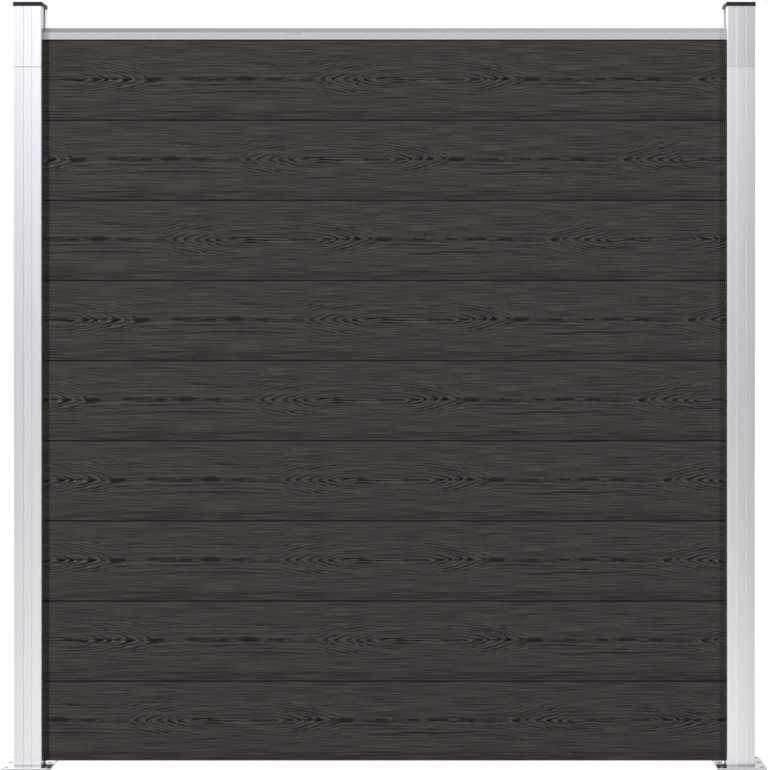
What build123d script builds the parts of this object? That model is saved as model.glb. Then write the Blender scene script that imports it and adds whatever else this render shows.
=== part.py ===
from build123d import *

import os

# A fence panel of hollow wood-plastic boards between two slotted aluminium posts on foot plates.
# Millimetres. X runs along the panel, the front faces -Y and Z is up. The origin is on the
# ground, midway between the posts.

# Overall layout
panel_width = 1800.0  # over the outer faces of the posts
post_above_rail = 56.5  # how far the post stands above the top rail
joint_below_top = 154.0  # from the top of the post down to its butt joint

# Boards
board_count = 9
board_pitch = 195.5
board_thickness = 20.0
board_wall = 4.5
board_rib = 5.0
board_cells = 5
board_cell_radius = 3.0
board_lower_radius = 2.0
board_upper_radius = 0.8
tongue_thickness = 6.0
tongue_height = 9.0
tongue_fit = 0.3  # clearance on each side of a tongue
tongue_end_gap = 1.0  # clearance over the top of a tongue
reveal_height = 3.0  # shadow gap between two boards
reveal_depth = 4.0

# Top rail
rail_height = 28.0
rail_wall = 1.6
rail_upright_band = 18.0  # lower part of the face, which is upright
rail_taper = 1.0  # how far the upper part leans in on each face
rail_edge_radius = 0.8

# Posts
post_size = 68.0
post_wall = 2.0
post_corner_radius = 2.5
slot_depth = 22.0
slot_fit = 0.5  # clearance on each face of a board in the slot
board_end_gap = 3.0  # clearance from the end of a board to the slot floor
chamber_radius = 1.0
screw_port_inset = 3.0  # screw port centre from the two walls that it grows out of
screw_port_bore = 5.2
screw_port_wall = 2.0
joint_chamfer = 0.5

# Cover strips, which clip into the slots
strip_fit = 0.25
strip_thickness = 1.8
strip_leg_length = 8.5
strip_leg_thickness = 1.4
strip_edge_chamfer = 0.4
clip_depth = 6.5  # from the post face to the middle of the clip groove
clip_groove_width = 2.0
clip_groove_depth = 0.8
clip_fit = 0.25

# Joiner and its screws
joiner_length = 160.0
joiner_wall = 3.0
joiner_fit = 0.2
joiner_screw_shank = 4.0
joiner_screw_head = 8.0
joiner_screw_head_height = 2.5
joiner_screw_tip = 3.0  # how far the screw reaches past the joiner wall
joiner_screw_clearance = 0.1  # round the shank

# Foot plates and their screws
plate_size = 120.0
plate_thickness = 6.0
plate_corner_radius = 10.0
plate_edge_chamfer = 0.8
anchor_hole = 11.0
anchor_edge_distance = 12.0
anchor_rows = 3
base_screw_shank = 5.0
base_screw_head = 10.0
base_screw_length = 36.0
base_screw_clearance = 0.15  # round the shank in the plate
base_screw_recess = 0.3  # head below the underside of the plate
base_screw_socket = 3.4  # across the corners of the hexagon socket
base_screw_socket_depth = 1.6

# Board supports
support_height = 6.0
support_chamfer = 0.6

# Caps
cap_top_thickness = 4.0
cap_skirt = 6.0  # how far the skirt reaches down over the post
cap_wall = 1.5
cap_fit = 0.3
cap_edge_radius = 1.6
cap_leg_size = 8.0
cap_leg_length = 14.0
cap_leg_taper = 2.0  # degrees

# Sizes that follow
slot_width = board_thickness + 2 * slot_fit
slot_floor = post_size / 2 - slot_depth
post_centre = (panel_width - post_size) / 2
core_size = 2 * (slot_floor - post_wall)
chamber_inner = slot_width / 2 + post_wall
chamber_outer = post_size / 2 - post_wall
chamber_size = chamber_outer - chamber_inner
chamber_centre = (chamber_outer + chamber_inner) / 2
screw_port_offset = chamber_inner + screw_port_inset
screw_port_outer = screw_port_bore + 2 * screw_port_wall

boards_bottom = plate_thickness + support_height
boards_top = boards_bottom + board_count * board_pitch
rail_top = boards_top + rail_height
post_top = rail_top + post_above_rail
joint_level = post_top - joint_below_top
board_length = panel_width - 2 * post_size + 2 * (slot_depth - board_end_gap)
groove_width = tongue_thickness + 2 * tongue_fit
groove_depth = tongue_height + tongue_end_gap

sides = {"left": -1, "right": 1}
upright = Vector(0, 0, 1)

os.makedirs("parts", exist_ok=True)


def write(builder, name):
    """Label a finished piece and write it to its own file."""
    builder.part.label = name
    export_step(builder.part, f"parts/{name}.step")


def level_plane(x, z):
    """A level plane on the middle line of the panel, at one post or at its centre."""
    return Plane(origin=(x, 0, z))


def end_plane(x, z):
    """An upright plane across the panel, for the sections that run along it."""
    return Plane(origin=(x, 0, z), x_dir=(0, 1, 0), z_dir=(1, 0, 0))


# Everything that is hollow in the post's section: corner chambers that keep a round screw port at
# their inner corner, the core, and a slot with a clip groove in each of the four faces.
with BuildSketch() as post_voids:
    with GridLocations(2 * chamber_centre, 2 * chamber_centre, 2, 2):
        RectangleRounded(chamber_size, chamber_size, chamber_radius)
    with GridLocations(2 * screw_port_offset, 2 * screw_port_offset, 2, 2):
        Circle(screw_port_outer / 2, mode=Mode.SUBTRACT)
        Circle(screw_port_bore / 2)
    Rectangle(core_size, core_size)
    with PolarLocations(slot_floor, 4):
        Rectangle(post_size, slot_width, align=(Align.MIN, Align.CENTER))
    with PolarLocations(post_size / 2 - clip_depth, 4):
        Rectangle(clip_groove_width, slot_width + 2 * clip_groove_depth)


def joiner_screw_plane(side, z):
    """A plane on the floor of the outer slot, facing outwards, where a joiner screw sits."""
    return Plane(origin=(side * (post_centre + slot_floor), 0, z), z_dir=(side, 0, 0))


joiner_screw_levels = {
    "post": joint_level - joiner_length / 4,
    "post_head": joint_level + joiner_length / 4,
}


def make_post_length(name, side, bottom, top):
    """One length of post, bevelled round the end that meets the other length."""
    screw_level = joiner_screw_levels[name]
    with BuildPart() as post_length:
        with BuildSketch(level_plane(side * post_centre, bottom)):
            RectangleRounded(post_size, post_size, post_corner_radius)
        extrude(amount=top - bottom)
        joint_end = -1 if top == joint_level else 0
        chamfer(post_length.edges().group_by(Axis.Z)[joint_end], joint_chamfer)
        with BuildSketch(level_plane(side * post_centre, bottom)):
            add(post_voids.sketch)
        extrude(amount=top - bottom, mode=Mode.SUBTRACT)
        with Locations(joiner_screw_plane(side, screw_level)):
            Hole(joiner_screw_shank / 2 + joiner_screw_clearance, depth=post_wall * 1.5)
    return post_length


for side_name, side in sides.items():
    write(make_post_length("post", side, plate_thickness, joint_level), f"post_{side_name}")
    write(make_post_length("post_head", side, joint_level, post_top), f"post_head_{side_name}")


# The joiner is a square tube in the core of the post, half below the joint and half above it.
def make_joiner(side):
    joiner_size = core_size - 2 * joiner_fit
    joiner_bottom = joint_level - joiner_length / 2
    with BuildPart() as joiner:
        with BuildSketch(level_plane(side * post_centre, joiner_bottom)):
            Rectangle(joiner_size, joiner_size)
            Rectangle(joiner_size - 2 * joiner_wall, joiner_size - 2 * joiner_wall, mode=Mode.SUBTRACT)
        extrude(amount=joiner_length)
        for screw_level in joiner_screw_levels.values():
            with Locations(joiner_screw_plane(side, screw_level)):
                hole_depth = post_wall + joiner_fit + joiner_wall * 1.5
                Hole(joiner_screw_shank / 2 + joiner_screw_clearance, depth=hole_depth)
    return joiner


# Pan-head screws in the outer slot, through the slot floor into the joiner.
def make_joiner_screws(side):
    shank_length = post_wall + joiner_fit + joiner_wall + joiner_screw_tip
    with BuildPart() as joiner_screws:
        for screw_level in joiner_screw_levels.values():
            head_plane = joiner_screw_plane(side, screw_level)
            with BuildSketch(head_plane):
                Circle(joiner_screw_head / 2)
            extrude(amount=joiner_screw_head_height)
            with BuildSketch(head_plane):
                Circle(joiner_screw_shank / 2)
            extrude(amount=-shank_length)
            with BuildSketch(head_plane.offset(joiner_screw_head_height)):
                RegularPolygon(joiner_screw_shank / 2, 6)
            extrude(amount=-joiner_screw_head_height / 2, mode=Mode.SUBTRACT)
    return joiner_screws


for side_name, side in sides.items():
    write(make_joiner(side), f"post_joiner_{side_name}")
    write(make_joiner_screws(side), f"joiner_screws_{side_name}")


# A cover strip is a channel, flush with the post face, with a clip bead on each leg.
def make_cover_strip(side, outward, bottom, top):
    strip_width = slot_width - 2 * strip_fit
    bead_height = clip_groove_depth + strip_fit - clip_fit
    bead_width = clip_groove_width - 2 * clip_fit
    face_point = Vector(side * post_centre, 0, bottom) + outward * (post_size / 2)
    section_plane = Plane(origin=face_point, x_dir=outward.cross(upright), z_dir=upright)
    with BuildPart() as strip:
        with BuildSketch(section_plane):
            Rectangle(strip_width, strip_thickness, align=(Align.CENTER, Align.MAX))
            with GridLocations(strip_width - strip_leg_thickness, 0, 2, 1):
                Rectangle(strip_leg_thickness, strip_leg_length, align=(Align.CENTER, Align.MAX))
            with Locations((0, -clip_depth)):
                with GridLocations(strip_width + bead_height - strip_leg_thickness, 0, 2, 1):
                    Rectangle(strip_leg_thickness + bead_height, bead_width)
        extrude(amount=top - bottom)
        outer_face = strip.faces().sort_by(Axis((0, 0, 0), outward))[-1]
        chamfer(outer_face.edges(), strip_edge_chamfer)
    return strip


for side_name, side in sides.items():
    covered_faces = {
        "front": Vector(0, -1, 0),
        "back": Vector(0, 1, 0),
        "outer": Vector(side, 0, 0),
    }
    for face_name, outward in covered_faces.items():
        lower_strip = make_cover_strip(side, outward, plate_thickness, joint_level)
        write(lower_strip, f"cover_strip_{side_name}_{face_name}")
        head_strip = make_cover_strip(side, outward, joint_level, post_top)
        write(head_strip, f"head_strip_{side_name}_{face_name}")


# Square foot plate with a row of anchor holes along each side edge, and countersunk holes below
# for the screws that run up into the post.
def make_foot_plate(side):
    anchor_offset = plate_size / 2 - anchor_edge_distance
    underside = Plane(origin=(side * post_centre, 0, 0), z_dir=(0, 0, -1))
    with BuildPart() as foot_plate:
        with BuildSketch(level_plane(side * post_centre, 0)):
            RectangleRounded(plate_size, plate_size, plate_corner_radius)
        extrude(amount=plate_thickness)
        chamfer(foot_plate.edges().group_by(Axis.Z)[-1], plate_edge_chamfer)
        with BuildSketch(level_plane(side * post_centre, 0)):
            with GridLocations(2 * anchor_offset, 2 * anchor_offset / (anchor_rows - 1), 2, anchor_rows):
                Circle(anchor_hole / 2)
        extrude(amount=plate_thickness, mode=Mode.SUBTRACT)
        with Locations(underside):
            with GridLocations(2 * screw_port_offset, 2 * screw_port_offset, 2, 2):
                CounterSinkHole(
                    base_screw_shank / 2 + base_screw_clearance,
                    base_screw_head / 2 + base_screw_clearance + base_screw_recess,
                    depth=plate_thickness,
                    counter_sink_angle=90,
                )
    return foot_plate


# Four countersunk screws, heads down, from the foot plate into the screw ports of the post.
def make_base_screws(side):
    head_plane = level_plane(side * post_centre, base_screw_recess)
    head_radius = base_screw_head / 2
    shank_radius = base_screw_shank / 2
    with BuildPart() as base_screws:
        with Locations(head_plane):
            with GridLocations(2 * screw_port_offset, 2 * screw_port_offset, 2, 2):
                Cone(
                    head_radius,
                    shank_radius,
                    head_radius - shank_radius,
                    align=(Align.CENTER, Align.CENTER, Align.MIN),
                )
                Cylinder(
                    shank_radius,
                    base_screw_length,
                    align=(Align.CENTER, Align.CENTER, Align.MIN),
                )
        with BuildSketch(head_plane):
            with GridLocations(2 * screw_port_offset, 2 * screw_port_offset, 2, 2):
                RegularPolygon(base_screw_socket / 2, 6)
        extrude(amount=base_screw_socket_depth, mode=Mode.SUBTRACT)
    return base_screws


# A block on the foot plate, in the inner slot, under the end of the lowest board.
def make_board_support(side):
    block_length = slot_depth - 2 * slot_fit
    block_centre = side * (post_centre - slot_floor - slot_depth / 2)
    with BuildPart() as support:
        with BuildSketch(level_plane(block_centre, plate_thickness)):
            Rectangle(block_length, board_thickness)
        extrude(amount=support_height)
        chamfer(support.edges().filter_by(Axis.Z), support_chamfer)
    return support


# A moulded cap with a skirt round the post and a tapered leg in each corner chamber.
def make_cap(side):
    cap_opening = post_size + 2 * cap_fit
    cap_size = cap_opening + 2 * cap_wall
    leg_centre = chamber_outer - cap_fit - cap_leg_size / 2
    skirt_bottom = post_top - cap_skirt
    with BuildPart() as cap:
        with BuildSketch(level_plane(side * post_centre, skirt_bottom)):
            RectangleRounded(cap_size, cap_size, post_corner_radius + cap_fit + cap_wall)
        extrude(amount=cap_skirt + cap_top_thickness)
        fillet(cap.edges().group_by(Axis.Z)[-1], cap_edge_radius)
        with BuildSketch(level_plane(side * post_centre, skirt_bottom)):
            RectangleRounded(cap_opening, cap_opening, post_corner_radius + cap_fit)
        extrude(amount=cap_skirt, mode=Mode.SUBTRACT)
        with BuildSketch(level_plane(side * post_centre, post_top)):
            with GridLocations(2 * leg_centre, 2 * leg_centre, 2, 2):
                RectangleRounded(cap_leg_size, cap_leg_size, chamber_radius)
        extrude(amount=-cap_leg_length, taper=cap_leg_taper)
    return cap


for side_name, side in sides.items():
    write(make_foot_plate(side), f"foot_plate_{side_name}")
    write(make_base_screws(side), f"base_screws_{side_name}")
    write(make_board_support(side), f"board_support_{side_name}")
    write(make_cap(side), f"post_cap_{side_name}")


# Section of a board: rounded lower edges, a rebate for the shadow gap at the upper edges, a tongue
# on top, a groove below and a row of hollow cells.
cell_zone_bottom = groove_depth + board_wall
cell_zone_top = board_pitch - reveal_height - board_wall
cell_pitch = (cell_zone_top - cell_zone_bottom + board_rib) / board_cells
cell_height = cell_pitch - board_rib
cell_width = board_thickness - 2 * board_wall

with BuildSketch() as board_section:
    Rectangle(board_thickness, board_pitch, align=(Align.CENTER, Align.MIN))
    with Locations((0, board_pitch)):
        with GridLocations(board_thickness, 0, 2, 1):
            Rectangle(2 * reveal_depth, 2 * reveal_height, mode=Mode.SUBTRACT)
    fillet(board_section.vertices().group_by(Axis.Y)[0], board_lower_radius)
    upper_corners = board_section.vertices().group_by(Axis.Y)[-2].sort_by(Axis.X)
    fillet([upper_corners[0], upper_corners[-1]], board_upper_radius)
    with Locations((0, board_pitch - board_wall)):
        Rectangle(tongue_thickness, board_wall + tongue_height, align=(Align.CENTER, Align.MIN))
    Rectangle(groove_width, groove_depth, align=(Align.CENTER, Align.MIN), mode=Mode.SUBTRACT)
    with Locations((0, (cell_zone_bottom + cell_zone_top) / 2)):
        with GridLocations(0, cell_pitch, 1, board_cells):
            RectangleRounded(cell_width, cell_height, board_cell_radius, mode=Mode.SUBTRACT)

for index in range(board_count):
    with BuildPart() as board:
        with BuildSketch(end_plane(-board_length / 2, boards_bottom + index * board_pitch)):
            add(board_section.sketch)
        extrude(amount=board_length)
    write(board, f"board_{index + 1}")


# The top rail is a hollow extrusion as thick as the boards. Its upper face leans in a little, and
# the groove below sits over the tongue of the highest board.
side_chamber_width = (board_thickness - groove_width) / 2 - 2 * rail_wall
side_chamber_height = groove_depth - rail_wall
side_chamber_spacing = groove_width + 2 * rail_wall + side_chamber_width
top_chamber_bottom = groove_depth + rail_wall
top_chamber_width = board_thickness - 2 * (rail_taper + rail_wall)
rail_half = board_thickness / 2

with BuildPart() as top_rail:
    with BuildSketch(end_plane(-board_length / 2, boards_top)) as rail_section:
        with BuildLine():
            Polyline(
                (-rail_half, 0),
                (rail_half, 0),
                (rail_half, rail_upright_band),
                (rail_half - rail_taper, rail_height),
                (rail_taper - rail_half, rail_height),
                (-rail_half, rail_upright_band),
                close=True,
            )
        make_face()
        fillet(rail_section.vertices().group_by(Axis.Y)[0], rail_edge_radius)
        fillet(rail_section.vertices().group_by(Axis.Y)[-1], rail_edge_radius)
        Rectangle(groove_width, groove_depth, align=(Align.CENTER, Align.MIN), mode=Mode.SUBTRACT)
        with Locations((0, top_chamber_bottom)):
            Rectangle(
                top_chamber_width,
                rail_height - rail_wall - top_chamber_bottom,
                align=(Align.CENTER, Align.MIN),
                mode=Mode.SUBTRACT,
            )
        with Locations((0, rail_wall)):
            with GridLocations(side_chamber_spacing, 0, 2, 1):
                Rectangle(
                    side_chamber_width,
                    side_chamber_height,
                    align=(Align.CENTER, Align.MIN),
                    mode=Mode.SUBTRACT,
                )
    extrude(amount=board_length)
write(top_rail, "top_rail")
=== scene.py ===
# %% [markdown]
# A composite fence panel
#
# The panel is nine dark wood-plastic boards between two slotted aluminium posts, with an aluminium
# rail on top, black caps and bright foot plates. The solids arrive as a fixed frame in metres, and
# this lesson dresses them: it presses the embossed wood grain into the boards as real relief, and then
# gives every piece a procedural finish.

# %% Load the frame
import math

import bpy
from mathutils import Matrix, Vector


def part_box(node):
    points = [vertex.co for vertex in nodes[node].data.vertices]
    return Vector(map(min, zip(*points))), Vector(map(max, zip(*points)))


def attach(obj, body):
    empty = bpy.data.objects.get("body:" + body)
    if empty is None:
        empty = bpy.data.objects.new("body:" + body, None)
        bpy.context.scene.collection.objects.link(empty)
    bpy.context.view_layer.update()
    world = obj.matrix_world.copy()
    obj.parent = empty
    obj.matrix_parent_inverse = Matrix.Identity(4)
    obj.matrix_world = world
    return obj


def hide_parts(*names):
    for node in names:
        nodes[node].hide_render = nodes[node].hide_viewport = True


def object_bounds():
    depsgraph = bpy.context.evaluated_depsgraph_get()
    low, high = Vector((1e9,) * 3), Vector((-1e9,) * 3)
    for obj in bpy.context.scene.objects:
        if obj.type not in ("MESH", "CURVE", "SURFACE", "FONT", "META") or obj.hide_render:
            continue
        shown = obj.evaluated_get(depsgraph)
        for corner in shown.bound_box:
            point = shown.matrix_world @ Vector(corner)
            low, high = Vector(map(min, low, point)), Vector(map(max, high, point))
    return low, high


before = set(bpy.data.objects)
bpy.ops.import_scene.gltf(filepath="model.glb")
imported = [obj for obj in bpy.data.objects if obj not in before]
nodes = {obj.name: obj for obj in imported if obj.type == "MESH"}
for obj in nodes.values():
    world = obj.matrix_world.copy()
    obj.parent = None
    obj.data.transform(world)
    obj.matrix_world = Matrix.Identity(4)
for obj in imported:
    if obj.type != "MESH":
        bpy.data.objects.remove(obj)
cad_low, cad_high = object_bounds()
print("frame nodes", len(nodes), "height", round(cad_high.z, 3), "m")

# %% Read the sizes of the boards and posts
millimetre = 0.001
board_count = 9
board_names = [f"board_{index}" for index in range(1, board_count + 1)]
first_board_low, first_board_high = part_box(board_names[0])
second_board_low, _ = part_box(board_names[1])
post_low, post_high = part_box("post_left")

boards_bottom = first_board_low.z
board_pitch = second_board_low.z - first_board_low.z
board_half_thickness = first_board_high.y
panel_half_opening = -post_high.x
print("board pitch", round(board_pitch, 4), "half opening", round(panel_half_opening, 4))

# %% [markdown]
# The camera
#
# The photograph was taken from straight in front, a little right of the middle and above half height,
# and then cropped to the object. A camera that looks down would make the posts lean. One that stays
# level and uses a small shift keeps them upright, as an architectural photographer would do with a
# shift lens. The picture is 768 by 770 pixels, and one pixel is about 2.43 mm at the front of the posts.

# %% Place the camera
image_width, image_height = 768, 770
pixel_size = 2.427 * millimetre
sensor_width = 36.0
camera_distance = 4.70
camera_right = 0.10
horizon_row = 285.0
cap_top_row = 1.8
panel_middle_column = 384.3

long_side = max(image_width, image_height)
camera_height = cad_high.z - (horizon_row - cap_top_row) * pixel_size
camera_column = panel_middle_column + camera_right / pixel_size

camera_data = bpy.data.cameras.new("photo_camera")
camera_data.sensor_width = sensor_width
camera_data.lens = sensor_width * camera_distance / (long_side * pixel_size)
camera_data.shift_x = (image_width / 2 - camera_column) / long_side
camera_data.shift_y = (horizon_row - image_height / 2) / long_side
camera = bpy.data.objects.new("photo_camera", camera_data)
camera.location = (camera_right, post_low.y - camera_distance, camera_height)
camera.rotation_euler = (math.radians(90), 0, 0)
bpy.context.scene.collection.objects.link(camera)
bpy.context.scene.camera = camera
print("lens", round(camera_data.lens, 1))
print("shift", round(camera_data.shift_x, 3), round(camera_data.shift_y, 3))

# %% [markdown]
# Small tools for nodes
#
# A material in Blender is a tree of small nodes with links between them. By hand they are drawn with
# the mouse. In a script each node takes a few lines, so helpers add one node each and return its
# output. They work in materials, in the world and in geometry nodes alike, because Math nodes are the
# same in all three.

# %% Helpers that add one node each
def feed(tree, socket, value):
    """Link another node's output to a socket, or set the socket to a plain value."""
    if isinstance(value, bpy.types.NodeSocket):
        tree.links.new(value, socket)
    else:
        socket.default_value = value


def number(tree, operation, *values):
    """Add one Math node and return its result."""
    node = tree.nodes.new("ShaderNodeMath")
    node.operation = operation
    for socket, value in zip(node.inputs, values):
        feed(tree, socket, value)
    return node.outputs[0]


def times(tree, first, *others):
    """The product of several values."""
    product = first
    for value in others:
        product = number(tree, "MULTIPLY", product, value)
    return product


def between(tree, share, at_none, at_all):
    """A value that goes from at_none to at_all while the share goes from 0 to 1."""
    return number(tree, "MULTIPLY_ADD", share, at_all - at_none, at_none)


def ramp(tree, value, low, high):
    """A smooth step from 0 at low to 1 at high. Low may be the larger one."""
    node = tree.nodes.new("ShaderNodeMapRange")
    node.interpolation_type = "SMOOTHSTEP"
    feed(tree, node.inputs["Value"], value)
    feed(tree, node.inputs["From Min"], low)
    feed(tree, node.inputs["From Max"], high)
    return node.outputs[0]


def split_point(tree, point):
    """The X, Y and Z of a point, as three values."""
    parts = tree.nodes.new("ShaderNodeSeparateXYZ")
    tree.links.new(point, parts.inputs["Vector"])
    return parts.outputs["X"], parts.outputs["Y"], parts.outputs["Z"]


node_helpers = (feed, number, times, between, ramp, split_point)
print("node helpers:", ", ".join(helper.__name__ for helper in node_helpers))

# %% [markdown]
# Floor and light
#
# The panel stands on white paper in a white studio. The boards show a narrow shadow with a crisp edge
# beside the left post and a fainter one beside the right post, so two small lamps stand low in front,
# a strong one on the left and a weaker one on the right, each almost forty degrees off the middle. Two
# more stand behind, so that the back can be looked at too. One large soft lamp would be simpler, but it
# would blur those shadows.
#
# Metal looks like what it mirrors. Lamps would show in it as hard bright squares, so they are kept out
# of reflections, and the floor and the dome act in three ways instead: nearly white or white for the
# camera, a gentle gradient for what the metal mirrors, and a soft grey, or nothing, for the light that
# they throw. A Light Path node tells the kinds of ray apart. It belongs to the studio, and no material
# on the panel has one.

# %% Lay the floor
floor_size = 60.0
floor_grey = (0.28, 0.28, 0.28, 1)
floor_roughness = 0.9
floor_specular = 0.1
white = (1, 1, 1, 1)


def deselect_all():
    """Leave no object selected, because operators act on all that is."""
    bpy.ops.object.select_all(action="DESELECT")


def new_material(name):
    """A material with nodes, and its tree and shader."""
    material = bpy.data.materials.new(name)
    material.use_nodes = True
    return material, material.node_tree, material.node_tree.nodes["Principled BSDF"]


deselect_all()
bpy.ops.mesh.primitive_plane_add(size=floor_size, location=(0, 0, 0))
floor = bpy.context.object
floor.name = "studio_floor"
floor_paint, floor_tree, floor_shader = new_material("studio_floor_paint")
floor_shader.inputs["Base Color"].default_value = floor_grey
floor_shader.inputs["Roughness"].default_value = floor_roughness
floor_shader.inputs["Specular IOR Level"].default_value = floor_specular
floor_shader.inputs["Emission Color"].default_value = white
floor.data.materials.append(floor_paint)
print("floor", floor_size, "m square")

# %% Let the floor glow by kind of ray
# The paper is overexposed for the camera, so that its edge doesn't show against the white, and
# bright in the metal, but it throws no glow on the boards.
camera_glow = 0.95
mirrored_glow_near = 0.60
mirrored_glow_far = 0.17
near_floor, far_floor = -0.6, -4.0


def object_point(tree):
    """The place of a point in its piece's own coordinates."""
    return tree.nodes.new("ShaderNodeTexCoord").outputs["Object"]


_, floor_depth, _ = split_point(floor_tree, object_point(floor_tree))
nearness = ramp(floor_tree, floor_depth, far_floor, near_floor)
in_metal = between(floor_tree, nearness, mirrored_glow_far, mirrored_glow_near)
floor_rays = floor_tree.nodes.new("ShaderNodeLightPath")
glow = times(floor_tree, floor_rays.outputs["Is Camera Ray"], camera_glow)
glow = number(floor_tree, "MULTIPLY_ADD", floor_rays.outputs["Is Glossy Ray"], in_metal, glow)
floor_tree.links.new(glow, floor_shader.inputs["Emission Strength"])
floor_paint.cycles.emission_sampling = "NONE"
print("floor in the metal", mirrored_glow_near, "near the panel and", mirrored_glow_far, "further off")

# %% Hang the lamps
lamp_target = (0.0, 0.0, 1.0)
lamp_size = 0.7
lamp_side = 4.6
lamp_reach = 5.9
front_lamp_height = 2.2
back_lamp_height = 4.0
# name, place across, place in depth, height, and power in watts
lamps = (
    ("left_lamp", -lamp_side, -lamp_reach, front_lamp_height, 530.0),
    ("right_lamp", lamp_side, -lamp_reach, front_lamp_height, 328.0),
    ("back_left_lamp", -lamp_side, lamp_reach, back_lamp_height, 340.0),
    ("back_right_lamp", lamp_side, lamp_reach, back_lamp_height, 480.0),
)


def hang_lamp(name, place, power):
    """A square studio lamp that points at the target and doesn't show in reflections."""
    data = bpy.data.lights.new(name, "AREA")
    data.shape = "SQUARE"
    data.size = lamp_size
    data.energy = power
    lamp = bpy.data.objects.new(name, data)
    lamp.location = place
    aim = [end - start for start, end in zip(place, lamp_target)]
    flat_reach = math.hypot(aim[0], aim[1])
    lamp.rotation_euler = (math.atan2(flat_reach, -aim[2]), 0, math.atan2(-aim[0], aim[1]))
    lamp.visible_glossy = False
    bpy.context.scene.collection.objects.link(lamp)


for lamp_name, lamp_x, lamp_y, lamp_z, lamp_power in lamps:
    hang_lamp(lamp_name, (lamp_x, lamp_y, lamp_z), lamp_power)
    print(lamp_name, lamp_power, "W")

# %% Set the dome
soft_grey = (0.20, 0.20, 0.203, 1)
mirror_low = (0.575, 0.575, 0.595, 1)
mirror_left = (2.08, 2.08, 2.12, 1)
mirror_right = (0.92, 0.92, 0.95, 1)
# Directions on the dome, as parts of a unit vector: where it is fully bright, and where left begins and ends.
full_rise = 0.30
left_begins, left_ends = 0.25, -0.30


def blend_colour(tree, factor, first, second):
    """Mix two colours by a factor."""
    node = tree.nodes.new("ShaderNodeMix")
    node.data_type = "RGBA"
    feed(tree, node.inputs[0], factor)
    feed(tree, node.inputs[6], first)
    feed(tree, node.inputs[7], second)
    return node.outputs[2]


world = bpy.data.worlds.new("studio_dome")
world.use_nodes = True
world.cycles.sampling_method = "NONE"
bpy.context.scene.world = world
dome = world.node_tree
dome_shader = dome.nodes["Background"]
direction = dome.nodes.new("ShaderNodeTexCoord").outputs["Generated"]
sideways, _, upwards = split_point(dome, direction)
rise = ramp(dome, upwards, 0.0, full_rise)
leftness = ramp(dome, sideways, left_begins, left_ends)
mirror_high = blend_colour(dome, leftness, mirror_right, mirror_left)
mirror_grey = blend_colour(dome, rise, mirror_low, mirror_high)
dome_rays = dome.nodes.new("ShaderNodeLightPath")
dome_colour = blend_colour(dome, dome_rays.outputs["Is Glossy Ray"], soft_grey, mirror_grey)
dome_colour = blend_colour(dome, dome_rays.outputs["Is Camera Ray"], dome_colour, white)
dome.links.new(dome_colour, dome_shader.inputs["Color"])
dome_shader.inputs["Strength"].default_value = 1.0
bpy.context.scene.view_settings.view_transform = "Standard"
print("dome in the metal", mirror_low[0], "at the horizon and", mirror_left[0], "high on the left")

# %% [markdown]
# Embossed grain
#
# The boards are extruded and then pass under a steel roller, which presses the picture of a
# flat-sawn plank into them. Such a plank is a slice near the heart of a tree, so its lines are
# the growth rings cut lengthwise: along the heart line they make chevrons, and further out they run
# almost straight. A picture of wood could be wrapped round the boards, but it would only be colour and
# would blur close up. The rings can be worked out instead. How far a point lies from the heart of the
# tree depends on its height above the heart line and on how deep the heart lies under the face. That
# depth is small and even in the eye of the pattern and grows on both sides of it, once per turn of
# the roller. A power between 1 and 2 joins height and depth, which gives shapes between straight
# chevrons and round arches, and a cosine of the distance gives the lines. Dark pockets lie on the heart
# line, and a second vein runs below them.
#
# The same nodes are needed twice, in geometry nodes to press the deep marks and in the shader to colour
# everything, so functions build them in either kind of tree. They work in millimetres.

# %% Noise that is stretched along the board
noise_gain = 4.0


def centred(tree, noise):
    """Noise from 0 to 1, which keeps near a half, made a value from about -1 to 1."""
    return number(tree, "MULTIPLY_ADD", noise, noise_gain, -noise_gain / 2)


def streaks(tree, along, length, seed, up=0.0, height=1.0, detail=2.0):
    """Noise with marks about length by height in size, from about -1 to 1."""
    place = tree.nodes.new("ShaderNodeCombineXYZ")
    feed(tree, place.inputs["X"], number(tree, "DIVIDE", along, length))
    feed(tree, place.inputs["Y"], number(tree, "DIVIDE", up, height))
    place.inputs["Z"].default_value = seed
    noise = tree.nodes.new("ShaderNodeTexNoise")
    noise.inputs["Scale"].default_value = 1.0
    noise.inputs["Detail"].default_value = detail
    tree.links.new(place.outputs["Vector"], noise.inputs["Vector"])
    return centred(tree, noise.outputs[0])


print("noise is spread", noise_gain, "times about its middle")

# %% Places on the roller
# Places along the roller are measured from the left end of the first pocket, heights from the lower
# edge of the board.
roller_turn = 924.0
heart_height = 99.2
eye_centre = 680.0
eye_flat = 96.0
eye_reach = 262.0
second_vein_height = 68.8
second_vein_centre = 265.0
edge_line_heights = (5.5, 10.0, 14.5, 19.5)
# centre, half length and half thickness of the pockets on the heart line
pockets = (
    (24.0, 25.0, 4.0),
    (112.0, 18.0, 2.8),
    (192.0, 18.0, 3.0),
    (250.0, 29.0, 4.2),
    (320.0, 23.0, 2.6),
    (624.0, 18.0, 2.0),
    (742.0, 33.0, 2.2),
    (812.0, 17.0, 2.8),
    (856.0, 13.0, 2.8),
    (884.0, 13.0, 2.9),
)


def wrapped_from(tree, along, centre):
    """Signed distance along the board from the nearest copy of a place on the roller."""
    return number(tree, "WRAP", number(tree, "SUBTRACT", along, centre), roller_turn / 2, -roller_turn / 2)


print("one turn of the roller is", roller_turn, "mm and has", len(pockets), "pockets")

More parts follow.
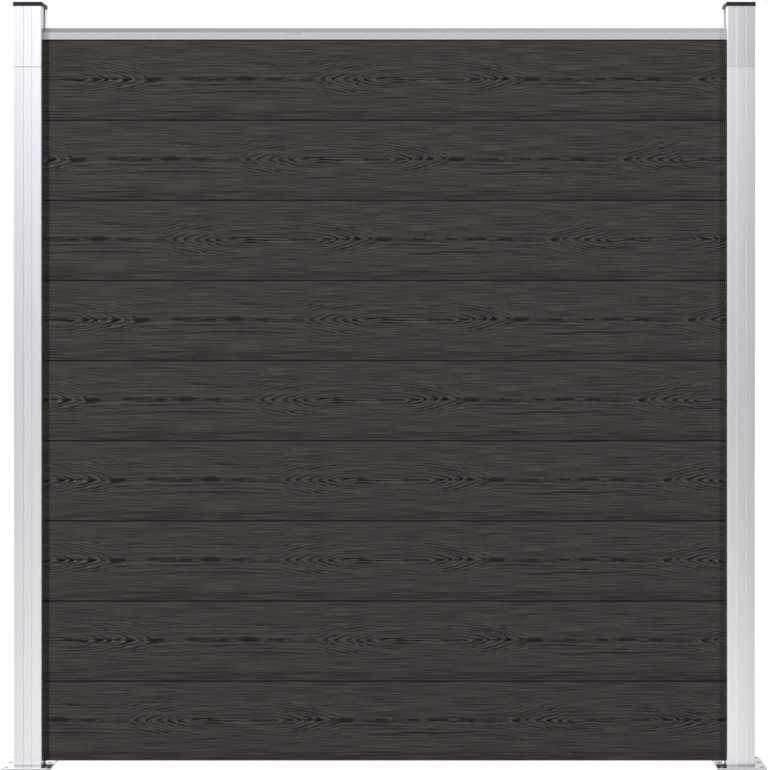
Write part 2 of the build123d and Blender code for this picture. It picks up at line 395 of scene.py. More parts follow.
# %% Shapes of lines
def slide(tree, value, low, high, to_low, to_high):
    """A straight ramp between two values that stops at both ends."""
    node = tree.nodes.new("ShaderNodeMapRange")
    feed(tree, node.inputs["Value"], value)
    for name, setting in (("From Min", low), ("From Max", high), ("To Min", to_low), ("To Max", to_high)):
        feed(tree, node.inputs[name], setting)
    return node.outputs[0]


def band(tree, distance, half_width, softness):
    """0 beyond half_width of a line, rising softly to 1 inside it."""
    inside = number(tree, "SUBTRACT", half_width, number(tree, "ABSOLUTE", distance))
    return ramp(tree, inside, 0.0, softness)


def bell(tree, distance, width):
    """A bell curve: 1 at distance 0, about a third at one width."""
    share = number(tree, "DIVIDE", distance, width)
    return number(tree, "EXPONENT", times(tree, share, share, -1.0))


print("line shapes:", ", ".join(shape.__name__ for shape in (slide, band, bell)))

# %% Distance from the heart of the tree
heart_depth_low = 3.0
heart_depth_high = 37.0
least_depth = 0.5
ring_squash = 0.95
ring_power = 1.4  # 1 gives straight chevrons, 2 gives round arches
flicker_reach = 1.3
warp_reach = 2.6
jitter_reach = 1.1


def ring_distance(tree, along, up, from_heart, from_eye):
    """How far a point lies from the heart of the tree, with the wander of real rings."""
    depth = slide(tree, from_eye, eye_flat, eye_reach, heart_depth_low, heart_depth_high)
    flicker = streaks(tree, along, length=48.0, seed=3.1)
    depth = number(tree, "MULTIPLY_ADD", flicker, flicker_reach, depth)
    warp = streaks(tree, along, length=110.0, seed=1.3, up=up, height=26.0)
    warped = times(tree, number(tree, "MULTIPLY_ADD", warp, warp_reach, from_heart), ring_squash)
    across = number(tree, "POWER", number(tree, "ABSOLUTE", warped), ring_power)
    inwards = number(tree, "POWER", number(tree, "MAXIMUM", depth, least_depth), ring_power)
    ring = number(tree, "POWER", number(tree, "ADD", across, inwards), 1 / ring_power)
    jitter = streaks(tree, along, length=40.0, seed=5.9, up=up, height=7.0)
    return number(tree, "MULTIPLY_ADD", jitter, jitter_reach, ring)


print("the heart lies", heart_depth_low, "to", heart_depth_high, "mm deep")

# %% How strongly the rings show
fan_above = 58.0
fan_below = 44.0
full_above, full_below = 0.45, 0.55
fan_begins, fan_is_full = 40.0, -60.0
plain_strength, fan_strength = 0.26, 0.90
calm_begins, calm_ends = 30.0, 150.0
calm_share = 0.45
plain_heart, fan_heart = 0.06, 0.32
least_strength = 0.38
worn_height = 14.0
worn_width = 11.0
worn_share = 0.58
patch_low, patch_high = -0.6, 0.7
faded_share = 0.25


def ring_strength(tree, along, up, from_heart, from_eye, core):
    """How strongly the rings show. Core is 1 on the heart line."""
    # The rings are strong where they fan out from the heart, calm in the middle of the eye, and faint
    # towards the long edges.
    fan = ramp(tree, from_eye, eye_reach + fan_begins, eye_reach + fan_is_full)
    fanned = between(tree, fan, plain_strength, fan_strength)
    above = ramp(tree, from_heart, fan_above, fan_above * full_above)
    below = ramp(tree, from_heart, -fan_below, -fan_below * full_below)
    calm = between(tree, ramp(tree, from_eye, calm_begins, calm_ends), calm_share, 1.0)
    strength = times(tree, above, below, fanned, calm)
    heart = times(tree, core, between(tree, fan, plain_heart, fan_heart))
    strength = number(tree, "ADD", strength, number(tree, "ADD", heart, least_strength))
    # Just above the heart the brush has worn the rings down.
    worn_band = bell(tree, number(tree, "SUBTRACT", from_heart, worn_height), worn_width)
    worn = between(tree, worn_band, 1.0, worn_share)
    patches = streaks(tree, along, length=75.0, seed=9.2, up=up, height=7.0)
    faded = between(tree, ramp(tree, patches, patch_low, patch_high), faded_share, 1.0)
    return times(tree, strength, worn, faded)


print("least ring strength", least_strength, "before wear and fading")

# %% Lines of the rings and their lips
ring_spacing = 5.4
core_width = 11.0
core_weight = 0.35
strand_weight = 0.95
line_begins, line_is_full = 0.30, 1.25
lip_shift = 2.1
lip_begins, lip_is_full = 0.2, 1.0


def build_rings(tree, along, up, from_heart):
    """Fine lines of the growth rings and the painted highlights on their lips, from 0 to about 1."""
    from_eye = number(tree, "ABSOLUTE", wrapped_from(tree, along, eye_centre))
    core = bell(tree, from_heart, core_width)
    ring = ring_distance(tree, along, up, from_heart, from_eye)
    strength = ring_strength(tree, along, up, from_heart, from_eye, core)
    phase = times(tree, ring, 2 * math.pi / ring_spacing)
    # Noise laid along the rings breaks the even lines into strands of uneven width.
    strands = streaks(tree, along, length=70.0, seed=15.3, up=ring, height=2.6)
    uneven = number(tree, "MULTIPLY_ADD", strands, strand_weight, number(tree, "COSINE", phase))
    uneven = number(tree, "MULTIPLY_ADD", core, core_weight, uneven)
    lines = ramp(tree, uneven, line_begins, line_is_full)
    # Painted highlight: the lower lip of each line is made pale, where light from above catches it.
    side = number(tree, "SIGN", from_heart)
    lip_phase = number(tree, "MULTIPLY_ADD", side, lip_shift, phase)
    lip_highlights = ramp(tree, number(tree, "COSINE", lip_phase), lip_begins, lip_is_full)
    return times(tree, lines, strength), times(tree, lip_highlights, strength)


print("rings", ring_spacing, "mm apart")

# %% Pockets on the heart line
pocket_swell = 0.3
pocket_end = 5.0
pocket_roughness = 0.22
pocket_softness = 1.1


def build_pockets(tree, along, up, from_heart):
    """Pockets that swell slowly from the left and end bluntly on the right."""
    thickness = 0.0
    for centre, half_length, half_thickness in pockets:
        beside = wrapped_from(tree, along, centre)
        grow = ramp(tree, beside, -half_length, -pocket_swell * half_length)
        stop = ramp(tree, beside, half_length, half_length - pocket_end)
        thickness = number(tree, "MAXIMUM", thickness, times(tree, grow, stop, half_thickness))
    rough = streaks(tree, along, length=14.0, seed=11.4, up=up, height=5.0)
    uneven = number(tree, "MULTIPLY_ADD", rough, pocket_roughness, 1.0)
    return band(tree, from_heart, times(tree, thickness, uneven), pocket_softness)


print("pockets up to", 2 * max(half_thickness for _, _, half_thickness in pockets), "mm high")

# %% Second vein
vein_droop = 9.0
vein_droop_reach = 200.0
vein_sway = 1.6
vein_begins, vein_is_full = 240.0, 80.0
vein_half_height = 1.9
vein_unevenness = 0.6
vein_softness = 1.2
vein_weight = 0.9


def build_second_vein(tree, along, up):
    """A thin vein below the heart line that droops towards both ends."""
    beside = wrapped_from(tree, along, second_vein_centre)
    share = times(tree, beside, 1 / vein_droop_reach)
    droop = times(tree, share, share, vein_droop)
    wander = streaks(tree, along, length=90.0, seed=13.8)
    drop = number(tree, "MULTIPLY_ADD", wander, vein_sway, droop)
    from_vein = number(tree, "ADD", number(tree, "SUBTRACT", up, second_vein_height), drop)
    presence = ramp(tree, number(tree, "ABSOLUTE", beside), vein_begins, vein_is_full)
    swelling = streaks(tree, along, length=55.0, seed=17.5)
    half_height = number(tree, "MULTIPLY_ADD", swelling, vein_unevenness, vein_half_height)
    vein = band(tree, from_vein, times(tree, half_height, presence), vein_softness)
    return times(tree, vein, vein_weight)


print("second vein", heart_height - second_vein_height, "mm below the heart line")

# %% Edge lines
edge_line_drift = 1.6
edge_line_half_height = 1.6
edge_line_softness = 1.3
edge_line_weight = 0.88
# noise below the first value breaks a line, noise above the second leaves it whole
edge_line_gap, edge_line_whole = -0.9, 0.4


def build_edge_lines(tree, along, up):
    """Broken lines that run along the lower edge of the board."""
    marks = 0.0
    for order, line_height in enumerate(edge_line_heights):
        drift = streaks(tree, along, length=260.0, seed=20.0 + order)
        above_line = number(tree, "SUBTRACT", up, line_height)
        from_line = number(tree, "MULTIPLY_ADD", drift, edge_line_drift, above_line)
        breaks = streaks(tree, along, length=170.0, seed=30.0 + order)
        presence = ramp(tree, breaks, edge_line_gap, edge_line_whole)
        line = band(tree, from_line, edge_line_half_height, edge_line_softness)
        marks = number(tree, "MAXIMUM", marks, times(tree, line, presence, edge_line_weight))
    return marks


print("edge lines", len(edge_line_heights))

# %% All of the grain
back_turn = roller_turn / 3
heart_sway = 1.3
lower_margin, lower_full = 2.5, 4.5
upper_margin, upper_full = 9.0, 24.0
grain_outputs = ("Marks", "Rings", "Lip Highlights", "Fibres", "Tone")


def build_grain(tree, point, roller_start):
    """Nodes of the pressed grain: deep marks, rings, painted highlights on their lips, fine fibres and the
    broad tone.
    """
    to_mm = 1 / millimetre
    pitch = board_pitch * to_mm
    side, depth, level = split_point(tree, point)
    height = number(tree, "MULTIPLY_ADD", level, to_mm, -boards_bottom * to_mm)
    row = number(tree, "FLOOR", number(tree, "DIVIDE", height, pitch))
    up = number(tree, "MULTIPLY_ADD", row, -pitch, height)
    # The back is pressed by a roller of its own, a third of a turn away.
    on_back = number(tree, "GREATER_THAN", depth, 0.0)
    start = number(tree, "MULTIPLY_ADD", on_back, back_turn, roller_start)
    along = number(tree, "SUBTRACT", times(tree, side, to_mm), start)
    sway = times(tree, streaks(tree, along, length=170.0, seed=7.7), heart_sway)
    from_heart = number(tree, "SUBTRACT", number(tree, "SUBTRACT", up, heart_height), sway)

    # The roller stops short of the two long edges.
    below = ramp(tree, up, lower_margin, lower_full)
    margin = times(tree, below, ramp(tree, up, pitch - upper_margin, pitch - upper_full))
    marks = number(
        tree, "MAXIMUM", build_pockets(tree, along, up, from_heart), build_second_vein(tree, along, up)
    )
    marks = number(tree, "MAXIMUM", marks, build_edge_lines(tree, along, up))
    lines, lip_highlights = build_rings(tree, along, up, from_heart)
    fibres = streaks(tree, along, length=110.0, seed=41.0, up=up, height=3.2, detail=3.0)
    tone = streaks(tree, along, length=240.0, seed=43.0, up=up, height=26.0)
    pressed = [times(tree, layer, margin) for layer in (marks, lines, lip_highlights)]
    return dict(zip(grain_outputs, pressed + [fibres, tone]))


print("grain layers:", ", ".join(grain_outputs))

# %% [markdown]
# Press the grain into the boards
#
# A flat face can't be pressed: it has no points inside it. So one board is copied from the frame,
# its loose triangles are merged, and its two faces are cut into a net by level and upright cuts.
# The level cuts are close where the deep marks lie, on the heart line, on the second vein and at the
# lower edge, and wide elsewhere. The other boards are copies of that net, each moved up by whole
# pitches inside its mesh. A geometry nodes modifier then pushes every point of the net inwards by the
# depth of the marks, and is applied. Sculpting by hand would do it too, but not nine times alike. The
# fine rings are too many for a net, so they stay a bump in the shader.

# %% Choose the levels of the cuts
close_step = 1.2
wide_step = 5.5
top_rest = 6.0
edge_zone = (3.4, 23.0)
room_below_vein, room_above_vein = 15.0, 5.0
room_at_heart = 8.5
# lowest and highest level of each zone with deep marks, in millimetres above the board's lower edge
close_zones = (
    edge_zone,
    (second_vein_height - room_below_vein, second_vein_height + room_above_vein),
    (heart_height - room_at_heart, heart_height + room_at_heart),
)


def even_stations(first, last, step):
    """Evenly spaced stations from first to last, about a step apart."""
    count = max(1, round((last - first) / step))
    return [first + (last - first) * index / count for index in range(count + 1)]


levels = []
last_level = close_zones[0][0]
for zone_low, zone_high in close_zones:
    if zone_low > last_level:
        levels += even_stations(last_level, zone_low, wide_step)[1:-1]
    levels += even_stations(zone_low, zone_high, close_step)
    last_level = zone_high
levels += even_stations(last_level, board_pitch / millimetre - top_rest, wide_step)[1:]
print("level cuts", len(levels))

# %% Copy one board and merge its triangles
merge_distance = 0.005 * millimetre
flat_angle = math.radians(0.05)


def make_active(piece):
    """Select one object alone, so that operators act on it only."""
    deselect_all()
    piece.select_set(True)
    bpy.context.view_layer.objects.active = piece


def add_copy(mesh, name):
    """A new active object with its own copy of a mesh."""
    piece = bpy.data.objects.new(name, mesh.copy())
    bpy.context.scene.collection.objects.link(piece)
    make_active(piece)
    return piece


pattern_board = add_copy(nodes[board_names[0]].data, f"embossed_{board_names[0]}")
bpy.ops.object.mode_set(mode="EDIT")
# In face mode the picks below aren't widened to all faces between picked points.
bpy.ops.mesh.select_mode(type="FACE")
bpy.ops.mesh.select_all(action="SELECT")
bpy.ops.mesh.remove_doubles(threshold=merge_distance)
bpy.ops.mesh.dissolve_limited(angle_limit=flat_angle)
bpy.ops.mesh.select_all(action="DESELECT")
bpy.ops.object.mode_set(mode="OBJECT")
print("faces of the merged board", len(pattern_board.data.polygons))

# %% Cut the net on its two faces
net_length = 9.0 * millimetre
face_margin = 2.2 * millimetre
face_reach = board_half_thickness - face_margin
x_axis, z_axis = 0, 2


def cut_at(stations, axis):
    """Cut what shows in edit mode at each station along one axis."""
    normal = [0.0, 0.0, 0.0]
    normal[axis] = 1.0
    for station in stations:
        point = [0.0, 0.0, 0.0]
        point[axis] = station
        bpy.ops.mesh.select_all(action="SELECT")
        bpy.ops.mesh.bisect(plane_co=point, plane_no=normal)


# Everything between the two faces is hidden, so that the cuts leave it whole.
for polygon in pattern_board.data.polygons:
    polygon.select = abs(polygon.center.y) < face_reach
bpy.ops.object.mode_set(mode="EDIT")
bpy.ops.mesh.hide(unselected=False)
cut_at([boards_bottom + level * millimetre for level in levels], z_axis)
cut_at(even_stations(-panel_half_opening, panel_half_opening, net_length), x_axis)
bpy.ops.mesh.reveal(select=False)
bpy.ops.object.mode_set(mode="OBJECT")
print("faces in the net of one board", len(pattern_board.data.polygons))

# %% Build the pressing nodes
mark_depth = 0.9 * millimetre
swell_depth = 0.12 * millimetre
face_share = 0.9999
opening_share = 1.001


def build_press():
    """A geometry node group that pushes the two faces of a board in by the deep marks."""
    tree = bpy.data.node_groups.new("press_grain", "GeometryNodeTree")
    tree.interface.new_socket("Board", in_out="INPUT", socket_type="NodeSocketGeometry")
    tree.interface.new_socket("Board", in_out="OUTPUT", socket_type="NodeSocketGeometry")
    board_in = tree.nodes.new("NodeGroupInput")
    board_out = tree.nodes.new("NodeGroupOutput")
    position = tree.nodes.new("GeometryNodeInputPosition").outputs[0]
    start = tree.nodes.new("GeometryNodeInputNamedAttribute")
    start.data_type = "FLOAT"
    start.inputs["Name"].default_value = "roller_start"
    grain = build_grain(tree, position, start.outputs["Attribute"])
    swell = times(tree, ramp(tree, grain["Tone"], -1.0, 1.0), swell_depth)
    depth = number(tree, "MULTIPLY_ADD", grain["Marks"], mark_depth, swell)
    # Only points on the two faces move, and only between the posts.
    side, thickness, _ = split_point(tree, position)
    from_middle = number(tree, "ABSOLUTE", thickness)
    on_face = number(tree, "GREATER_THAN", from_middle, board_half_thickness * face_share)
    from_side = number(tree, "ABSOLUTE", side)
    in_view = number(tree, "LESS_THAN", from_side, panel_half_opening * opening_share)
    inwards = times(tree, number(tree, "SIGN", thickness), -1.0)
    move = tree.nodes.new("ShaderNodeCombineXYZ")
    tree.links.new(times(tree, on_face, in_view, inwards, depth), move.inputs["Y"])
    place = tree.nodes.new("GeometryNodeSetPosition")
    tree.links.new(board_in.outputs[0], place.inputs["Geometry"])
    tree.links.new(move.outputs["Vector"], place.inputs["Offset"])
    tree.links.new(place.outputs["Geometry"], board_out.inputs[0])
    return tree


press = build_press()
print("nodes in the press", len(press.nodes))

# %% Copy the net to the other boards
embossed_boards = [pattern_board]
for index, name in enumerate(board_names[1:], start=1):
    board = add_copy(pattern_board.data, f"embossed_{name}")
    board.location.z = index * board_pitch
    bpy.ops.object.transform_apply(location=True, rotation=False, scale=False)
    embossed_boards.append(board)
print("boards", len(embossed_boards))

# %% Press them all
# Where the roller's mark falls on each board, in millimetres from the middle, from the lowest board up.
roller_starts = (-1046.0, -585.0, -678.0, -678.0, -739.0, -619.0, -953.0, -775.0, -592.0)
smooth_angle = math.radians(32)

for board, name, roller_start in zip(embossed_boards, board_names, roller_starts):
    make_active(board)
    attribute = board.data.attributes.new("roller_start", "FLOAT", "POINT")
    attribute.data.foreach_set("value", [roller_start] * len(board.data.vertices))
    modifier = board.modifiers.new("press_grain", "NODES")
    modifier.node_group = press
    bpy.ops.object.modifier_apply(modifier=modifier.name)
    bpy.ops.object.shade_smooth_by_angle(angle=smooth_angle)
    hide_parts(name)
    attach(board, "root")
print("pressed", len(embossed_boards), "boards")

# %% [markdown]
# The board's finish
#
# Wood-plastic composite is wood flour in a dark plastic. The faces are brushed after
# pressing, so the ridges are a little lighter and drier than the grooves, which stay dark. One flat
# colour with lamps on the relief would be too even for that. So the grain nodes become a shader node
# group here, and the same masks that pressed the relief choose the colours.

# %% Shader group of the grain
grain_group = bpy.data.node_groups.new("pressed_grain", "ShaderNodeTree")
grain_group.interface.new_socket("Point", in_out="INPUT", socket_type="NodeSocketVector")
grain_group.interface.new_socket("Roller Start", in_out="INPUT", socket_type="NodeSocketFloat")
for output_name in grain_outputs:
    grain_group.interface.new_socket(output_name, in_out="OUTPUT", socket_type="NodeSocketFloat")
grain_in = grain_group.nodes.new("NodeGroupInput")
grain_out = grain_group.nodes.new("NodeGroupOutput")
layers = build_grain(grain_group, grain_in.outputs["Point"], grain_in.outputs["Roller Start"])
for output_name in grain_outputs:
    grain_group.links.new(layers[output_name], grain_out.inputs[output_name])
print("nodes in the grain group", len(grain_group.nodes))

# %% Helpers for materials
def place_group(tree, group):
    """A node that holds a node group."""
    node = tree.nodes.new("ShaderNodeGroup")
    node.node_tree = group
    return node


def add_bump(tree, shader, height, distance, strength):
    """A bump from a height value, into the shader's normal."""
    bump = tree.nodes.new("ShaderNodeBump")
    bump.inputs["Strength"].default_value = strength
    bump.inputs["Distance"].default_value = distance
    tree.links.new(height, bump.inputs["Height"])
    tree.links.new(bump.outputs["Normal"], shader.inputs["Normal"])


def shade_colour(tree, colour, shade):
    """Multiply a colour by a grey value."""
    node = tree.nodes.new("ShaderNodeMix")
    node.data_type = "RGBA"
    node.blend_type = "MULTIPLY"
    node.inputs[0].default_value = 1.0
    feed(tree, node.inputs[6], colour)
    feed(tree, node.inputs[7], shade)
    return node.outputs[2]


material_helpers = (place_group, add_bump, shade_colour)
print("material helpers:", ", ".join(helper.__name__ for helper in material_helpers))

# %% Colour of the boards
ridge_colour = (0.0380, 0.0316, 0.0312, 1)
groove_colour = (0.0060, 0.0048, 0.0046, 1)
# how much lighter or darker each layer of the grain makes the ridges; the lip layer is a painted highlight
ridge_tones = (("Fibres", 0.52), ("Tone", 0.07), ("Lip Highlights", 0.55))
ring_darkness = 0.88
mark_darkness = 0.74
joint_darkness = 0.68
# The sunk joint between two boards begins and is fully dark this far under the face.
joint_begins, joint_is_full = 1.0 * millimetre, 2.2 * millimetre

board_finish, tree, shader = new_material("dark_composite")
grain = place_group(tree, grain_group)
tree.links.new(object_point(tree), grain.inputs["Point"])
start = tree.nodes.new("ShaderNodeAttribute")
start.attribute_name = "roller_start"
tree.links.new(start.outputs["Fac"], grain.inputs["Roller Start"])
tone = 1.0
for layer, weight in ridge_tones:
    tone = number(tree, "MULTIPLY_ADD", grain.outputs[layer], weight, tone)
ridge = shade_colour(tree, ridge_colour, tone)
dark_rings = times(tree, grain.outputs["Rings"], ring_darkness)
dark_marks = times(tree, grain.outputs["Marks"], mark_darkness)
dark = number(tree, "MAXIMUM", dark_rings, dark_marks)
# Dust and shade keep the sunk joint between two boards black.
_, thickness, _ = split_point(tree, object_point(tree))
from_middle = number(tree, "ABSOLUTE", thickness)
sunk = ramp(tree, from_middle, board_half_thickness - joint_begins, board_half_thickness - joint_is_full)
dark = number(tree, "MAXIMUM", dark, times(tree, sunk, joint_darkness))
tree.links.new(blend_colour(tree, dark, ridge, groove_colour), shader.inputs["Base Color"])
print("ridges are", round(ridge_colour[0] / groove_colour[0], 1), "times as bright as grooves")

# %% Gloss and fine relief of the boards
ridge_roughness, groove_roughness = 0.78, 0.70
fibre_roughness = 0.04
board_specular = 0.05
# height of each layer of the grain, as a share of the bump
relief_weights = (("Rings", -1.0), ("Marks", -0.4), ("Fibres", 0.12))
bump_height = 0.9 * millimetre

roughness = between(tree, dark, ridge_roughness, groove_roughness)
roughness = number(tree, "MULTIPLY_ADD", grain.outputs["Fibres"], fibre_roughness, roughness)
tree.links.new(roughness, shader.inputs["Roughness"])
shader.inputs["Specular IOR Level"].default_value = board_specular
relief = 0.0
for layer, weight in relief_weights:
    relief = number(tree, "MULTIPLY_ADD", grain.outputs[layer], weight, relief)
add_bump(tree, shader, relief, bump_height, 1.0)
for board in embossed_boards:
    board.data.materials.clear()
    board.data.materials.append(board_finish)
print("composite on", len(embossed_boards), "boards")

# %% [markdown]
# Metal finishes
#
# The posts, strips, rail and plates are drawn or rolled metal, so fine die lines run along them. An
# anisotropic shader could stretch the highlights instead, but the lines themselves would be missing
# close up. A single group makes them: fine noise, and a broad cloud of the same kind. Each material
# stretches both along its own direction of drawing with a Mapping node, more than a hundredfold on the
# posts and the rail.

# %% Die lines
die_lines = bpy.data.node_groups.new("die_lines", "ShaderNodeTree")
die_lines.interface.new_socket("Point", in_out="INPUT", socket_type="NodeSocketVector")
# name, scale and detail of each layer
die_layers = (("Lines", 1.0, 4.0), ("Cloud", 0.05, 2.0))
for output_name, _, _ in die_layers:
    die_lines.interface.new_socket(output_name, in_out="OUTPUT", socket_type="NodeSocketFloat")
die_in = die_lines.nodes.new("NodeGroupInput")
die_out = die_lines.nodes.new("NodeGroupOutput")
for output_name, scale, detail in die_layers:
    noise = die_lines.nodes.new("ShaderNodeTexNoise")
    noise.inputs["Scale"].default_value = scale
    noise.inputs["Detail"].default_value = detail
    die_lines.links.new(die_in.outputs["Point"], noise.inputs["Vector"])
    die_lines.links.new(centred(die_lines, noise.outputs[0]), die_out.inputs[output_name])
print("nodes in the die lines", len(die_lines.nodes))

# %% Drawn metal
middle_tone = 0.5
line_tone = 0.18
cloud_tone = 0.12
line_roughness = 0.035
line_height = 0.02 * millimetre
line_bump = 0.35


def drawn_metal(name, dark_colour, light_colour, roughness, lines_per_metre):
    """Aluminium with die lines. lines_per_metre gives the noise scale along X, Y and Z."""
    material, tree, shader = new_material(name)
    mapping = tree.nodes.new("ShaderNodeMapping")
    mapping.inputs["Scale"].default_value = lines_per_metre
    tree.links.new(object_point(tree), mapping.inputs["Vector"])
    group = place_group(tree, die_lines)
    tree.links.new(mapping.outputs["Vector"], group.inputs["Point"])
    tone = number(tree, "MULTIPLY_ADD", group.outputs["Lines"], line_tone, middle_tone)
    tone = number(tree, "MULTIPLY_ADD", group.outputs["Cloud"], cloud_tone, tone)
    tree.links.new(blend_colour(tree, tone, dark_colour, light_colour), shader.inputs["Base Color"])
    spread = number(tree, "MULTIPLY_ADD", group.outputs["Lines"], line_roughness, roughness)
    tree.links.new(spread, shader.inputs["Roughness"])
    shader.inputs["Metallic"].default_value = 1.0
    add_bump(tree, shader, group.outputs["Lines"], line_height, line_bump)
    return material, tree, shader


def shade_base(tree, shader, shade):
    """Multiply what already feeds a shader's colour by a grey value."""
    colour = shader.inputs["Base Color"].links[0].from_socket
    tree.links.new(shade_colour(tree, colour, shade), shader.inputs["Base Color"])


print("die lines are", round(line_height / millimetre, 3), "mm high")

# %% [markdown]
# Posts and strips
#
# The posts and their cover strips are matt anodised extrusions. The photograph shows that they aren't
# even: the right head length is darker and dark lines run along the joints. Light and shade are painted
# into the colour too: painted shade round the feet, a painted reflection that makes the inner half of
# each face brighter, painted light on the whole left post and painted highlights on the edges of the
# right cover strip. Masks painted in an image could carry this. Here each trait is a soft step in the
# piece's own coordinates, taken from the frame's boxes, so it stays in place if the frame changes.

# %% Posts: metal and batches
post_light, post_dark = (0.87, 0.865, 0.885, 1), (0.81, 0.805, 0.825, 1)
post_roughness = 0.32
post_lines = (900, 900, 6)
post_level = 0.99
other_batch_shade = -0.12
painted_left_light = 0.05
painted_inner_sheen = 0.05

post_finish, tree, shader = drawn_metal("anodised_post", post_dark, post_light, post_roughness, post_lines)
side, _, height = split_point(tree, object_point(tree))
on_right = number(tree, "GREATER_THAN", side, 0.0)
on_left = number(tree, "SUBTRACT", 1.0, on_right)
# The right head length comes from another batch and is a little darker.
joint_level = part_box("post_head_right")[0].z
other_batch = times(tree, on_right, number(tree, "GREATER_THAN", height, joint_level))
post_shade = number(tree, "MULTIPLY_ADD", other_batch, other_batch_shade, post_level)
# Painted reflection: the inner half of each post face is made lighter and the outer half darker, as if
# it mirrored more light. On the right post it is twice as strong.
from_middle = number(tree, "ABSOLUTE", side)
across = slide(tree, from_middle, panel_half_opening, -post_low.x, painted_inner_sheen, -painted_inner_sheen)
across = times(tree, across, number(tree, "ADD", on_right, 1.0))
post_shade = number(tree, "ADD", post_shade, across)
# Painted light: the whole left post is made a little lighter.
post_shade = number(tree, "MULTIPLY_ADD", on_left, painted_left_light, post_shade)
print("post joint at", round(joint_level, 3), "m")

# %% Posts: dirt and glints
joint_half = 1.3 * millimetre
joint_softness = 0.8 * millimetre
right_joint_darkening, left_joint_darkening = -0.08, -0.44
glint_half = 2.2 * millimetre
glint_softness = 1.2 * millimetre
painted_glint_lift = 0.24
foot_shade_begins, foot_shade_is_full = 4.5 * millimetre, 2.0 * millimetre
painted_foot_shade = -0.35

# A dark line runs along the joint, darker on the left post.
joint_line = band(tree, number(tree, "SUBTRACT", height, joint_level), joint_half, joint_softness)
joint_line_darkening = between(tree, on_left, right_joint_darkening, left_joint_darkening)
post_shade = number(tree, "MULTIPLY_ADD", joint_line, joint_line_darkening, post_shade)
# Painted highlight: on the right post the edges of the cover strip are made lighter, where they catch the
# strong lamp.
strip_low, strip_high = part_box("cover_strip_right_front")
for strip_edge in (strip_low.x, strip_high.x):
    painted_glint = band(tree, number(tree, "SUBTRACT", side, strip_edge), glint_half, glint_softness)
    post_shade = number(tree, "MULTIPLY_ADD", painted_glint, painted_glint_lift, post_shade)
# Painted shade: a thin dark line runs round the foot of each post, where it stands on the plate.
foot_shade_line = ramp(tree, height, post_low.z + foot_shade_begins, post_low.z + foot_shade_is_full)
post_shade = number(tree, "MULTIPLY_ADD", foot_shade_line, painted_foot_shade, post_shade)
shade_base(tree, shader, post_shade)
print("cover strip", round((strip_high.x - strip_low.x) / millimetre, 1), "mm wide")

# %% [markdown]
# Top rail
#
# The rail is a greyer, satin extrusion with lines along it. Its upper band looks darker, and there is
# a small wedge-shaped scratch left of the middle. A painted highlight lightens its lower edge, and
# painted shade darkens it towards its left end. The scratch is too shallow to be worth a cut in the
# mesh, so it is a mask in the colour like the rest.

# %% Rail: metal and bands
rail_low, rail_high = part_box("top_rail")
rail_light, rail_dark = (0.51, 0.51, 0.525, 1), (0.45, 0.45, 0.465, 1)
rail_roughness = 0.34
rail_lines = (5, 900, 900)
rail_metallic = 0.65
band_height = 10.0 * millimetre
band_bottom = rail_high.z - band_height
band_softness = 1.0 * millimetre
band_shade = -0.36
band_painted_shade_along, rail_painted_shade_along = 0.13, 0.07
lower_edge_height = 4.0 * millimetre
painted_lower_edge_highlight = 0.12

rail_finish, tree, shader = drawn_metal("satin_rail", rail_dark, rail_light, rail_roughness, rail_lines)
shader.inputs["Metallic"].default_value = rail_metallic
side, front, height = split_point(tree, object_point(tree))
upper = ramp(tree, height, band_bottom - band_softness, band_bottom)
# Painted highlight: the lowest few millimetres of the rail are made lighter.
lit_lower_edge = ramp(tree, height, rail_low.z + lower_edge_height, rail_low.z)
# Painted shade: the rail is darker towards its left end and lighter towards its right end, most of all on the
# upper band.
along = slide(tree, side, -panel_half_opening, panel_half_opening, -1.0, 1.0)
upper_shade = number(tree, "MULTIPLY_ADD", along, band_painted_shade_along, band_shade)
rail_shade = number(tree, "MULTIPLY_ADD", along, rail_painted_shade_along, 1.0)
rail_shade = number(tree, "MULTIPLY_ADD", upper, upper_shade, rail_shade)
rail_shade = number(tree, "MULTIPLY_ADD", lit_lower_edge, painted_lower_edge_highlight, rail_shade)
print("rail", round((rail_high.z - rail_low.z) / millimetre, 1), "mm high")

# %% Rail: scratch
scratch_left, scratch_right = -0.255, -0.203
scratch_drop = 13.5 * millimetre
scratch_level = rail_high.z - scratch_drop
scratch_half = 1.7 * millimetre
scratch_softness = 0.8 * millimetre
scratch_shade = -0.30

# The scratch is a wedge: it starts as nothing on the left and ends blunt on the right.
widening = slide(tree, side, scratch_left, scratch_right, 0.0, 1.0)
before_end = number(tree, "LESS_THAN", side, scratch_right)
wedge = times(tree, widening, scratch_half, before_end)
scratch = band(tree, number(tree, "SUBTRACT", height, scratch_level), wedge, scratch_softness)
scratch = times(tree, scratch, number(tree, "LESS_THAN", front, 0.0))
rail_shade = number(tree, "MULTIPLY_ADD", scratch, scratch_shade, rail_shade)
shade_base(tree, shader, rail_shade)
print("rail scratch", round((scratch_right - scratch_left) / millimetre), "mm long")

# %% [markdown]
# Foot plates and screws
#
# The plates are bright rolled metal that mirrors the floor, so they are smoother than the posts. The
# screws are zinc plated. Both are the same drawn metal with other numbers, which keeps the panel's
# metals alike.

# %% Plates and screws
plate_light, plate_dark = (0.64, 0.64, 0.66, 1), (0.57, 0.57, 0.59, 1)
plate_roughness = 0.22
plate_lines = (60, 700, 700)
screw_light, screw_dark = (0.62, 0.62, 0.60, 1), (0.50, 0.50, 0.49, 1)
screw_roughness = 0.34
screw_lines = (400, 400, 400)

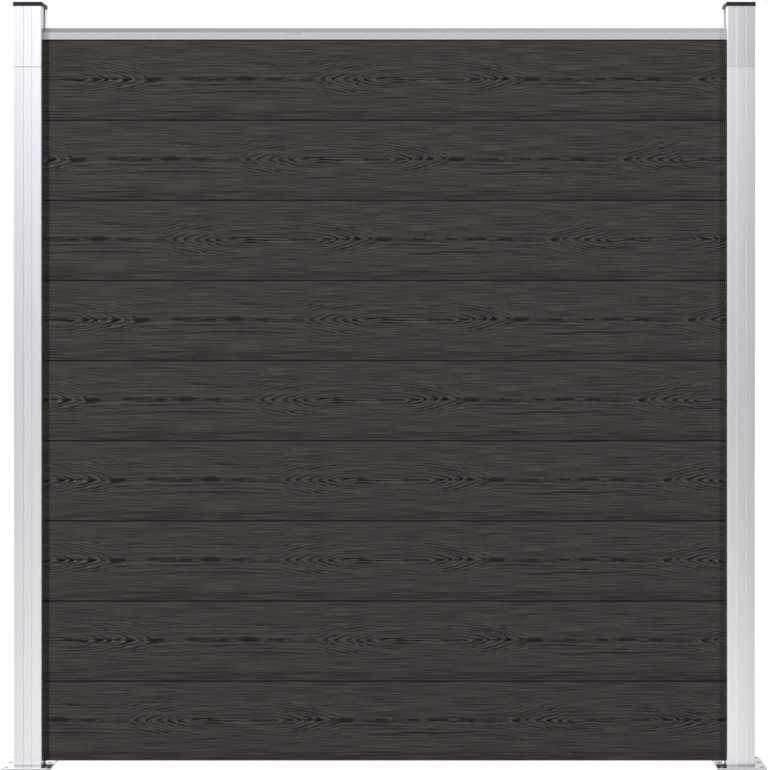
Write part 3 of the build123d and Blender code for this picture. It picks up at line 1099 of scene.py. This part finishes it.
plate_finish, _, _ = drawn_metal("bright_plate", plate_dark, plate_light, plate_roughness, plate_lines)
screw_finish, _, _ = drawn_metal("zinc_screw", screw_dark, screw_light, screw_roughness, screw_lines)
print("metal finishes", post_finish.name, rail_finish.name, plate_finish.name, screw_finish.name)

# %% [markdown]
# Black moulded plastic
#
# The caps and the support blocks are black injection mouldings with a fine spark-eroded texture. A
# plain black would look like a hole in the picture, so one fine noise varies the colour, the roughness
# and a slight bump together.

# %% Black plastic
plastic_dark, plastic_light = (0.006, 0.006, 0.007, 1), (0.016, 0.016, 0.018, 1)
speckles_per_metre = 900.0
speckle_detail = 3.0
smooth_plastic, rough_plastic = 0.40, 0.60
plastic_specular = 0.25
speckle_height = 0.08 * millimetre
speckle_bump = 0.4

cap_finish, tree, shader = new_material("black_moulding")
texture = tree.nodes.new("ShaderNodeTexNoise")
texture.inputs["Scale"].default_value = speckles_per_metre
texture.inputs["Detail"].default_value = speckle_detail
tree.links.new(object_point(tree), texture.inputs["Vector"])
speckle = texture.outputs[0]
tree.links.new(blend_colour(tree, speckle, plastic_dark, plastic_light), shader.inputs["Base Color"])
tree.links.new(between(tree, speckle, smooth_plastic, rough_plastic), shader.inputs["Roughness"])
shader.inputs["Specular IOR Level"].default_value = plastic_specular
add_bump(tree, shader, speckle, speckle_height, speckle_bump)
print("plastic roughness from", smooth_plastic, "to", rough_plastic)

# %% [markdown]
# Give every frame node its finish
#
# The frame's names say what each piece is, so the start of a name is enough to choose its finish. The
# longer starts come first, because a post cap's name also starts like a post's.

# %% Give the finishes
finish_of_start = {
    "post_cap": cap_finish,
    "board_support": cap_finish,
    "foot_plate": plate_finish,
    "base_screws": screw_finish,
    "joiner_screws": screw_finish,
    "top_rail": rail_finish,
    "post": post_finish,
    "cover_strip": post_finish,
    "head_strip": post_finish,
}
dressed = 0
for name, node in nodes.items():
    for name_start, finish in finish_of_start.items():
        if name.startswith(name_start):
            node.data.materials.clear()
            node.data.materials.append(finish)
            dressed += 1
            break
print("frame nodes with a finish", dressed, "and pressed boards", len(embossed_boards))
